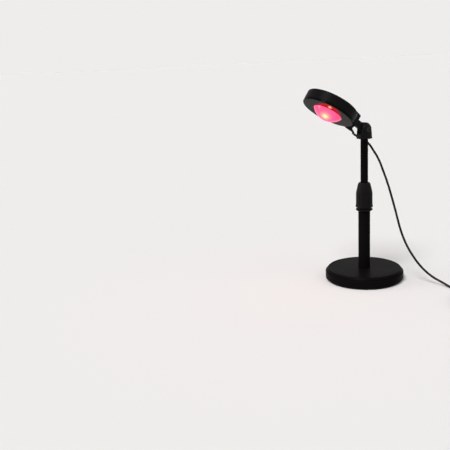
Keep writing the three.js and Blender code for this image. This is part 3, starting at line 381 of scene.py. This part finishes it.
# cords: the route of the part's source; floor, link, tail and coil are in the frame turned to the sight
cordRoute = {
    "diameter": 3.0, "sides": 12, "step": 1.5, "knotSteps": 12,
    "exitAlong": 20.3, "exitForward": 11.6, "exitStraight": 2,
    "drop": [(-0.5, -19.2, 206.5), (-3.1, -16.3, 204.9), (-7.4, -12.9, 203.2), (-10.9, -8.3, 201.2),
             (-12.4, -3.0, 198.6), (-12.3, 2.6, 195.6), (-10.1, 8.2, 191.9), (-6.1, 13.0, 186.8),
             (-1.5, 17.1, 177.8), (4.1, 21.6, 165.6), (9.8, 25.6, 148.3), (15.0, 28.6, 132.1),
             (19.9, 30.7, 116.0), (24.8, 32.4, 99.8), (29.4, 33.9, 83.7), (34.6, 35.6, 67.5),
             (41.2, 37.9, 52.5), (50.8, 41.8, 36.4), (63.0, 47.4, 21.2), (76.0, 54.1, 10.4),
             (89.5, 59.3, 4.6), (100.6, 60.1, 1.9)],
    "floor": [(116.4, -45.4, 1.8), (119.9, -53.4, 2.0), (121.7, -61.2, 3.0), (122.0, -67.0, 4.0),
              (122.0, -70.0, 4.2), (122.0, -72.0, 4.2)],
    "link": [(122.0, -120.0, 4.2), (122.0, -122.0, 4.2), (122.0, -126.5, 3.9), (123.0, -131.5, 2.6),
             (127.0, -137.4, 1.8), (134.0, -140.2, 1.7), (141.4, -138.0, 1.7), (146.2, -131.4, 1.7),
             (147.8, -122.0, 1.7), (148.0, -108.0, 1.7), (148.0, -92.0, 1.8), (148.0, -78.0, 2.2),
             (148.0, -72.0, 2.7)],
    "tail": [(191.2, -69.0, 12.7), (191.2, -76.0, 10.6), (191.2, -83.5, 7.0), (191.2, -90.5, 4.6),
             (191.2, -96.0, 4.1), (191.2, -98.0, 4.1)],
    "leadEndHeight": 189, "splitHeight": 119, "groundHeight": 2.0,
}
coilSize = {"place": (169.6, -60.0), "layers": 4, "turns": 9.5, "pitch": 3.6, "outer": 21.6,
            "straight": 4, "lift": 2.7, "layerPitch": 3.6, "climbTurns": 0.5, "stepsPerTurn": 36}


def fromSight(point):
    return sightMatrix @ (Vector(point) * mm)


# points at even steps on a smooth curve through the given ones
def smoothLine(points):
    deselectAll()
    data = bpy.data.curves.new("route", "CURVE")
    data.dimensions = "3D"
    spline = data.splines.new("BEZIER")
    spline.bezier_points.add(len(points) - 1)
    for knot, point in zip(spline.bezier_points, points):
        knot.co = point
        knot.handle_left_type = knot.handle_right_type = "AUTO"
    data.resolution_u = cordRoute["knotSteps"]
    route = bpy.data.objects.new("route", data)
    bpy.context.scene.collection.objects.link(route)
    bpy.context.view_layer.update()
    mesh = route.to_mesh()
    fine = [v.co.copy() for v in mesh.vertices]
    route.to_mesh_clear()
    bpy.data.objects.remove(route)
    bpy.data.curves.remove(data)
    lengths = [0]
    for a, b in zip(fine, fine[1:]):
        lengths.append(lengths[-1] + (b - a).length)
    count = max(2, round(lengths[-1] / (cordRoute["step"] * mm)))
    even, j = [], 0
    for i in range(count + 1):
        want = lengths[-1] * i / count
        while j < len(fine) - 2 and lengths[j + 1] < want:
            j += 1
        share = (want - lengths[j]) / (lengths[j + 1] - lengths[j])
        even.append(fine[j].lerp(fine[j + 1], share))
    return even


# a round jacket along points, as a closed mesh
def layJacket(name, points, radius):
    data = bpy.data.curves.new(name, "CURVE")
    data.dimensions = "3D"
    spline = data.splines.new("POLY")
    spline.points.add(len(points) - 1)
    for knot, point in zip(spline.points, points):
        knot.co = (*point, 1)
    data.bevel_depth = radius
    data.bevel_resolution = cordRoute["sides"] // 2 - 2
    data.use_fill_caps = True
    data.twist_mode = "MINIMUM"
    piece = bpy.data.objects.new(name, data)
    bpy.context.scene.collection.objects.link(piece)
    selectOnly(piece)
    bpy.ops.object.convert(target="MESH")
    bpy.ops.object.mode_set(mode="EDIT")
    closeMesh()
    piece = bpy.context.object
    piece.name = name
    return piece


# layers wound inwards and outwards in turn, each climbing to the next over part of a turn
def coilPoint(turn):
    coil = coilSize
    layerTurns = coil["turns"] / coil["layers"]
    layer = min(coil["layers"] - 1, int(turn / layerTurns))
    within = turn - layer * layerTurns
    inwards = within if layer % 2 == 0 else layerTurns - within
    radius = coil["outer"] - coil["pitch"] * inwards
    height = coil["lift"]
    for climb in range(1, coil["layers"]):
        climbed = turn - climb * layerTurns + coil["climbTurns"] / 2
        share = min(1, max(0, climbed / coil["climbTurns"]))
        height += coil["layerPitch"] * share * share * (3 - 2 * share)
    angle = math.pi - 2 * math.pi * turn
    right, away = coil["place"]
    return fromSight((right + radius * math.cos(angle), away + radius * math.sin(angle), height))


def layCords():
    route, coil = cordRoute, coilSize
    radius = route["diameter"] / 2 * mm
    hanging = [armMatrix @ Vector((0, (route["exitAlong"] - back) * mm, route["exitForward"] * mm))
               for back in (0, route["exitStraight"])]
    hanging += [Vector(p) * mm for p in route["drop"]] + [fromSight(p) for p in route["floor"]]
    line = smoothLine(hanging)
    leadEnd = next(i for i, p in enumerate(line) if p.y > 0 and p.z < route["leadEndHeight"] * mm)
    split = next(i for i, p in enumerate(line) if p.z < route["splitHeight"] * mm)
    ground = next(i for i, p in enumerate(line) if p.z < route["groundHeight"] * mm)

    count = round(coil["turns"] * coil["stepsPerTurn"])
    loops = [coilPoint(coil["turns"] * i / count) for i in range(count + 1)]
    right, away = coil["place"]
    top = loops[-1].z / mm
    coilIn = [fromSight((right - coil["outer"], away - coil["straight"] * s, coil["lift"]))
              for s in (1, 0.5)]
    coilOut = [fromSight((right + coil["outer"], away - coil["straight"] * s, top)) for s in (0.5, 1)]
    stored = smoothLine([fromSight(p) for p in route["link"]] + coilIn[:1])
    stored += coilIn[1:] + loops + coilOut
    stored += smoothLine(coilOut[-1:] + [fromSight(p) for p in route["tail"]])[1:]

    # name, points, the bodies it joins or lies on, solids, lay, far end and the pieces on it
    switchPieces = ("switchLower", "switchUpper", "switchButton")
    plugPieces = ("coilTie", "plugBody", "plugShell", frame["nodes"]["usb_plug_tongue"])
    stretches = (
        ("cordLead", line[:leadEnd + 1], ("head", "upper_pole"), ("cord_lead",), "loose", "object", ()),
        ("cordUpperDrop", line[leadEnd:split + 1], ("upper_pole", "slider"), ("cord_upper_drop",),
         "hanging", "object", ()),
        ("cordLowerDrop", line[split:ground + 1], ("slider", "stand"), ("cord_lower_drop",),
         "hanging", "object", ()),
        ("cordFloor", line[ground:], ("stand",), ("cord_floor",), "loose", "object", switchPieces),
        ("cordStored", stored, ("stand",), ("cord_link", "cord_coil", "cord_tail"), "coiled", "plug",
         plugPieces),
    )
    total = 0
    for name, points, bodies, replaced, lay, farEnd, onCord in stretches:
        piece = layJacket(name, points, radius)
        bends = len(bodies) == 2
        dress(piece, None if bends else bodies[0], "cord_jacket", *replaced, angle=60, weighted=False)
        if bends:
            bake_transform(piece)
        length = sum((b - a).length for a, b in zip(points, points[1:]))
        total += length
    print("cords laid:", round(total, 3), "m")


layCords()


# a turned piece: rings of one outline (radius, height), extruded and scaled in turn; a ringed piece is
# closed back to its first ring, and any other has its ends filled or drawn to a point
def turnPiece(name, outline, facets, ringed=False):
    deselectAll()
    radius, height = outline[0]
    bpy.ops.mesh.primitive_circle_add(vertices=facets, radius=radius * mm, location=(0, 0, height * mm),
                                      fill_type="NOTHING" if ringed else "NGON")
    piece = bpy.context.object
    piece.name = piece.data.name = name
    bpy.ops.object.transform_apply(location=True, rotation=True, scale=True)
    bpy.ops.object.mode_set(mode="EDIT")
    bpy.ops.mesh.select_all(action="SELECT")
    for nextRadius, nextHeight in outline[1:] + (outline[:1] if ringed else []):
        rise = (0, 0, (nextHeight - height) * mm)
        bpy.ops.mesh.extrude_edges_move(TRANSFORM_OT_translate={"value": rise})
        share = max(nextRadius, axisRadius) / radius
        bpy.ops.transform.resize(value=(share, share, 1), center_override=(0, 0, nextHeight * mm))
        radius, height = max(nextRadius, axisRadius), nextHeight
    if not ringed and radius <= axisRadius:
        bpy.ops.mesh.merge(type="CENTER")
    elif not ringed:
        bpy.ops.mesh.edge_face_add()
    closeMesh()
    return piece


# points of an outline on an arc
def roundCorner(centreRadius, centreHeight, radius, start, end, steps=6):
    angles = [math.radians(start + (end - start) * i / steps) for i in range(steps + 1)]
    return [(centreRadius + radius * math.cos(a), centreHeight + radius * math.sin(a)) for a in angles]


def cutAway(piece, cutter):
    applyModifier(piece, "BOOLEAN", operation="DIFFERENCE", object=cutter, solver="EXACT")
    bpy.data.objects.remove(cutter)


# a bar with its own six faces at their places
def barPiece(name, low, high):
    deselectAll()
    middle = [(a + b) / 2 * mm for a, b in zip(low, high)]
    size = [(b - a) * mm for a, b in zip(low, high)]
    bpy.ops.mesh.primitive_cube_add(size=1, location=middle, scale=size)
    bpy.ops.object.transform_apply(location=True, rotation=True, scale=True)
    bpy.context.object.name = name
    return bpy.context.object


# a pin about its middle, upright unless it is turned
def pinPiece(name, radius, length, middle, facets=32, turn=(0, 0, 0)):
    deselectAll()
    bpy.ops.mesh.primitive_cylinder_add(vertices=facets, radius=radius * mm, depth=length * mm,
                                        location=[x * mm for x in middle], rotation=turn)
    bpy.ops.object.transform_apply(location=True, rotation=True, scale=True)
    bpy.context.object.name = name
    return bpy.context.object


# base: the cover with its groove and fine ring, and the ringed pad under it
baseCover = {"radius": 53.2, "footBevel": 1.4, "foot": 1.5, "bandTop": 12.6, "bandRound": 0.9,
             "ledge": 51.6, "grooveTop": 13.4, "rimFoot": 52.2, "rimTop": 49.6, "height": 16.5,
             "wall": 1.8, "lining": 0.9, "hole": 3.3, "ringRadius": 45.5, "ringHalf": 0.4,
             "ringDepth": 0.3, "topRings": (30, 12), "facets": 160, "eased": 0.22, "easedFrom": 22}
basePad = {"bore": 4, "radius": 50.5, "top": 1.2, "footRound": 0.4, "rings": 7, "firstRing": 6,
           "ringWidth": 3, "ringSlope": 0.3, "ringDepth": 0.5, "facets": 96}


def makeBase():
    c = baseCover
    top, under, inner = c["height"], c["height"] - c["wall"], c["radius"] - c["wall"]
    outline = [(inner, c["foot"]), (c["radius"] - c["footBevel"], c["foot"]),
               (c["radius"], c["foot"] + c["footBevel"])]
    outline += roundCorner(c["radius"] - c["bandRound"], c["bandTop"] - c["bandRound"], c["bandRound"],
                           0, 90)
    outline += [(c["ledge"], c["bandTop"]), (c["ledge"], c["grooveTop"]), (c["rimFoot"], c["grooveTop"]),
                (c["rimTop"], top)]
    outline += [(c["ringRadius"] + c["ringHalf"], top), (c["ringRadius"], top - c["ringDepth"]),
                (c["ringRadius"] - c["ringHalf"], top)]
    outline += [(radius, top) for radius in c["topRings"]]
    outline += [(c["hole"], top), (c["hole"], under), (c["rimTop"] - c["lining"], under),
                (c["rimTop"] - c["lining"], c["bandTop"] - c["wall"]),
                (inner, c["bandTop"] - 2 * c["wall"])]
    cover = turnPiece("baseCover", outline, c["facets"], ringed=True)
    dress(easeEdges(cover, c["eased"], c["easedFrom"]), "stand", "black_paint", "base_cover", angle=35)

    p = basePad
    outline = [(p["bore"], 0)]
    for i in range(p["rings"]):
        start = p["firstRing"] + i * 2 * p["ringWidth"]
        end = start + p["ringWidth"]
        outline += [(start, 0), (start + p["ringSlope"], p["ringDepth"]),
                    (end - p["ringSlope"], p["ringDepth"]), (end, 0)]
    outline += [(p["radius"] - p["footRound"], 0), (p["radius"], p["footRound"]),
                (p["radius"], p["top"])]
    dress(turnPiece("footPad", outline, p["facets"]), "stand", "black_rubber", "foot_pad")


makeBase()
print("base made")


# pole: two tubes, the threaded bush with its flange, the clutch nut
poleTubes = {"lowerRadius": 8, "lowerBore": 6.8, "lowerFoot": 16.8, "lowerTop": 112, "lowerFacets": 72,
             "upperRadius": 5, "upperBore": 4, "upperFoot": 85, "upperTop": 198.2, "upperFacets": 56,
             "eased": 0.15}
threadBush = {"bore": 8.3, "foot": 96.9, "footRadius": 8.7, "radius": 11.1, "edgeLow": 98.2,
              "edgeHigh": 100, "top": 100.6, "neck": 9, "neckTop": 102.8, "thread": 8.6, "pitch": 1.5,
              "threadTop": 118, "shoulder": 112.3, "seatRadius": 7.4, "seatFoot": 114.4,
              "slideBore": 5.3, "facets": 72, "eased": 0.12, "easedFrom": 40}
clutchNut = {"bore": 9.3, "foot": 102.8, "lipRadius": 11.6, "lipHeight": 1.5, "radius": 11.2,
             "skirtTop": 121.4, "bendShare": 0.965, "bendRise": 2.4, "shoulder": (9.5, 129.6),
             "nose": (8.45, 134), "top": (7.4, 136), "slideBore": 5.3,
             "inside": [(5.3, 129.3), (6.5, 129.3), (7.8, 121.7), (9.3, 121.7)],
             "flutes": 6, "fluteRadius": 3.2, "fluteDepth": 0.7, "fluteFoot": 107.3,
             "facets": 120, "eased": 0.25, "easedFrom": 24}


def makePole():
    t = poleTubes
    for side, name, body, solid in (("lower", "lowerTube", "stand", "lower_tube"),
                                    ("upper", "upperTube", "upper_pole", "upper_tube")):
        bore, radius, foot, top = (t[side + size] for size in ("Bore", "Radius", "Foot", "Top"))
        outline = [(bore, foot), (radius, foot), (radius, top), (bore, top)]
        tube = turnPiece(name, outline, t[side + "Facets"], ringed=True)
        dress(easeEdges(tube, t["eased"]), body, "black_paint", solid)

    b = threadBush
    outline = [(b["bore"], b["foot"]), (b["footRadius"], b["foot"]), (b["radius"], b["edgeLow"]),
               (b["radius"], b["edgeHigh"]), (b["neck"], b["top"]), (b["neck"], b["neckTop"])]
    height = b["neckTop"] + b["pitch"] / 2
    while height + b["pitch"] < b["threadTop"]:
        outline += [(b["thread"], height), (b["neck"], height + b["pitch"] / 2)]
        height += b["pitch"]
    outline += [(b["thread"], b["threadTop"]), (b["seatRadius"], b["threadTop"]),
                (b["slideBore"], b["seatFoot"]), (b["slideBore"], b["shoulder"]),
                (b["bore"], b["shoulder"])]
    bush = turnPiece("threadBush", outline, b["facets"], ringed=True)
    dress(easeEdges(bush, b["eased"], b["easedFrom"]), "stand", "black_plastic", "thread_bush", angle=40)

    n = clutchNut
    outline = [(n["bore"], n["foot"]), (n["lipRadius"], n["foot"]),
               (n["lipRadius"], n["foot"] + n["lipHeight"]),
               (n["radius"], n["foot"] + 2 * n["lipHeight"]), (n["radius"], n["skirtTop"]),
               (n["radius"] * n["bendShare"], n["skirtTop"] + n["bendRise"]), n["shoulder"], n["nose"],
               n["top"], (n["slideBore"], n["top"][1])] + n["inside"]
    nut = turnPiece("clutchNut", outline, n["facets"], ringed=True)
    reach = n["top"][1] - n["fluteFoot"]
    for i in range(n["flutes"]):
        middle = (n["radius"] + n["fluteRadius"] - n["fluteDepth"], 0, n["fluteFoot"] + reach / 2)
        flute = pinPiece("flute", n["fluteRadius"], reach, middle)
        turn = lampFrame["sightAngle"] + 2 * math.pi * i / n["flutes"]
        flute.data.transform(Matrix.Rotation(turn, 4, "Z"))
        cutAway(nut, flute)
    dress(easeEdges(nut, n["eased"], n["easedFrom"]), "clutch", "black_plastic", "clutch_nut", angle=35)


makePole()
print("pole made")


# knuckle cap: round top, slot for the arm, wells for the bolt and the nut
knuckleCap = {"foot": 196, "footRadius": 10.4, "radius": 9.45, "bore": 5.3, "ceiling": 198.5,
              "spigot": 3.7, "spigotFoot": 183.5, "slotHalf": 4.2, "slotRadius": 8.2, "slotMouth": 4.95,
              "boltHole": 2.3, "headWell": 3.8, "headSeat": 6.7, "nutWell": 4.39, "nutSeat": -6.4,
              "facets": 80, "topSteps": 14, "eased": 0.3, "easedFrom": 32}


def makeCap():
    k = knuckleCap
    pivot = lampFrame["pivotHeight"]
    outline = [(k["spigot"], k["spigotFoot"]), (k["spigot"], k["ceiling"]), (k["bore"], k["ceiling"]),
               (k["bore"], k["foot"]), (k["footRadius"], k["foot"])]
    outline += roundCorner(0, pivot, k["radius"], 0, 90, k["topSteps"])
    cap = turnPiece("knuckleCap", outline, k["facets"])
    reach = 3 * k["footRadius"]  # well outside the cap
    cutAway(cap, barPiece("slotThrough", (-k["slotHalf"], -reach, pivot - k["slotMouth"]),
                          (k["slotHalf"], reach, pivot + reach)))
    # pins across the cap at the pivot: radius, start, end and facets
    for name, radius, start, end, facets in (
            ("slotRound", k["slotRadius"], -k["slotHalf"], k["slotHalf"], 48),
            ("boltHole", k["boltHole"], -reach, reach, 32),
            ("headWell", k["headWell"], k["headSeat"], reach, 40),
            ("nutWell", k["nutWell"], -reach, k["nutSeat"], 40)):
        cutAway(cap, pinPiece(name, radius, end - start, ((start + end) / 2, 0, pivot), facets,
                              (0, math.pi / 2, 0)))
    dress(easeEdges(cap, k["eased"], k["easedFrom"]), "upper_pole", "black_plastic", "knuckle_cap",
          angle=40)


makeCap()
print("cap made")


# head: dish, front ring and lens, in the head's own frame with the lens towards +Z
headDish = {"radius": 35.2, "back": -2.1, "round": 2, "roundSteps": 8, "front": 10.6, "wall": 2,
            "floor": 0.3, "screws": 3, "screwCircle": 27, "screwWell": 2.4, "wellTop": -0.7,
            "holeRadius": 1.5, "cutPast": 1, "facets": 160, "eased": 0.2, "easedFrom": 40}
headRing = {"hole": 19.5, "lip": 20.7, "lipHeight": 0.05, "lipSlope": 0.8, "lipWidth": 0.6,
            "back": 10.9, "face": 13.4, "radius": 35.2, "bevel": 0.6, "spigot": 32.9,
            "spigotBore": 31.2, "spigotFoot": 9, "facets": 160, "eased": 0.18, "easedFrom": 25}
headLens = {"radius": 19.44, "flange": 21, "flangeBack": 9.4, "flangeFront": 10.6, "face": 13.4,
            "rise": 10, "domeSteps": 24, "facets": 128}


def makeHead():
    d = headDish
    inner = d["radius"] - d["wall"]
    outline = roundCorner(d["radius"] - d["round"], d["back"] + d["round"], d["round"], -90, 0,
                          d["roundSteps"])
    outline += [(d["radius"], d["front"]), (inner, d["front"]), (inner, d["floor"])]
    dish = turnPiece("headDish", outline, d["facets"])
    for i in range(d["screws"]):
        angle = math.pi / 2 + 2 * math.pi * i / d["screws"]
        x, y = d["screwCircle"] * math.cos(angle), d["screwCircle"] * math.sin(angle)
        for radius, top in ((d["screwWell"], d["wellTop"]),
                            (d["holeRadius"], d["floor"] + d["cutPast"])):
            depth = top - d["back"] + d["cutPast"]
            cutAway(dish, pinPiece("screwWell", radius, depth, (x, y, top - depth / 2)))
    dress(easeEdges(dish, d["eased"], d["easedFrom"]), "head", "black_aluminium", "rear_housing",
          place=headMatrix)

    r = headRing
    outline = [(r["hole"], r["back"]), (r["spigotBore"], r["back"]), (r["spigotBore"], r["spigotFoot"]),
               (r["spigot"], r["spigotFoot"]), (r["spigot"], r["back"]), (r["radius"], r["back"]),
               (r["radius"], r["face"] - r["bevel"]), (r["radius"] - r["bevel"], r["face"]),
               (r["lip"] + r["lipSlope"], r["face"]), (r["lip"], r["face"] + r["lipHeight"] / 2),
               (r["lip"] - r["lipWidth"], r["face"] + r["lipHeight"]),
               (r["hole"], r["face"] + r["lipHeight"])]
    ring = turnPiece("headRing", outline, r["facets"], ringed=True)
    dress(easeEdges(ring, r["eased"], r["easedFrom"]), "head", "black_plastic", "front_bezel", angle=35,
          place=headMatrix, finish="blackGloss")

    g = headLens
    sphere = (g["radius"] ** 2 + g["rise"] ** 2) / (2 * g["rise"])
    centre = g["face"] + g["rise"] - sphere
    rim = math.degrees(math.asin((g["face"] - centre) / sphere))
    outline = [(g["flange"], g["flangeBack"]), (g["flange"], g["flangeFront"]),
               (g["radius"], g["flangeFront"])]
    outline += roundCorner(0, centre, sphere, rim, 90, g["domeSteps"])
    dress(turnPiece("lensDome", outline, g["facets"]), "head", "clear_glass", "lens", place=headMatrix,
          weighted=False)


makeHead()
print("head made")


# the arm with its block, the cord's relief, and the tilt joint's bolt and nut
dressSolids((
    ("head_bracket", "armAndBlock", "head", 0.45),
    ("strain_relief", "cordRelief", "head", 0.2),
    ("hinge_bolt", "tiltBolt", "upper_pole", 0.2),
    ("hinge_nut", "tiltNut", "upper_pole", 0.2),
))
print("arm and tilt joint made")


# floor and light: the floor's size is in metres, and each sun has where it shines from, its spread
# and its strength
studio = {"floorSize": 200, "floorTone": (0.80, 0.79, 0.785), "floorRoughness": 0.8, "floorLift": 0.08,
          "backdropTone": (0.858, 0.845, 0.838), "skyTone": (1.0, 0.99, 0.98), "skyStrength": 0.3,
          "suns": (("keySun", (0.5, -1.0, 1.5), 22, 2.15), ("fillSun", (1.4, 0.5, 1.0), 50, 0.45),
                   ("lowSun", (-0.6, -1.1, 0.1), 40, 1.6))}


# 1 for the rays that see the backdrop as it is drawn, and 0 for those that only carry light
def seenRays(tree):
    rays = tree.nodes.new("ShaderNodeLightPath")
    seen = addMath(tree, "MAXIMUM", rays.outputs["Is Camera Ray"], rays.outputs["Is Glossy Ray"])
    return addMath(tree, "MAXIMUM", seen, rays.outputs["Is Transmission Ray"])


def makeFloor():
    deselectAll()
    bpy.ops.mesh.primitive_plane_add(size=studio["floorSize"])
    floor = bpy.context.object
    floor.name = "studioFloor"
    material = bpy.data.materials.new("studioFloor")
    material.use_nodes = True
    tree = material.node_tree
    nodes, links = tree.nodes, tree.links
    shader = nodes["Principled BSDF"]
    shader.inputs["Base Color"].default_value = (*studio["floorTone"], 1)
    shader.inputs["Roughness"].default_value = studio["floorRoughness"]
    shader.inputs["Specular IOR Level"].default_value = 0
    lift = nodes.new("ShaderNodeEmission")
    lift.inputs["Color"].default_value = (*studio["backdropTone"], 1)
    links.new(addMath(tree, "MULTIPLY", seenRays(tree), studio["floorLift"]), lift.inputs["Strength"])
    both = nodes.new("ShaderNodeAddShader")
    links.new(shader.outputs[0], both.inputs[0])
    links.new(lift.outputs[0], both.inputs[1])
    links.new(both.outputs[0], nodes["Material Output"].inputs["Surface"])
    floor.data.materials.append(material)


def makeLight():
    world = bpy.data.worlds.new("studioWorld")
    bpy.context.scene.world = world
    world.use_nodes = True
    nodes, links = world.node_tree.nodes, world.node_tree.links
    light = nodes["Background"]
    light.inputs["Color"].default_value = (*studio["skyTone"], 1)
    light.inputs["Strength"].default_value = studio["skyStrength"]
    backdrop = nodes.new("ShaderNodeBackground")
    backdrop.inputs["Color"].default_value = (*studio["backdropTone"], 1)
    mix = nodes.new("ShaderNodeMixShader")
    links.new(seenRays(world.node_tree), mix.inputs["Fac"])
    links.new(light.outputs[0], mix.inputs[1])
    links.new(backdrop.outputs[0], mix.inputs[2])
    links.new(mix.outputs[0], nodes["World Output"].inputs["Surface"])

    for name, place, spread, strength in studio["suns"]:
        data = bpy.data.lights.new(name, "SUN")
        data.angle, data.energy = math.radians(spread), strength
        lamp = bpy.data.objects.new(name, data)
        lamp.location = place
        lamp.rotation_mode = "QUATERNION"
        lamp.rotation_quaternion = (-Vector(place)).to_track_quat("-Z", "Y")
        bpy.context.scene.collection.objects.link(lamp)
    bpy.context.scene.view_settings.view_transform = "Standard"


makeFloor()
makeLight()
print("studio ready")
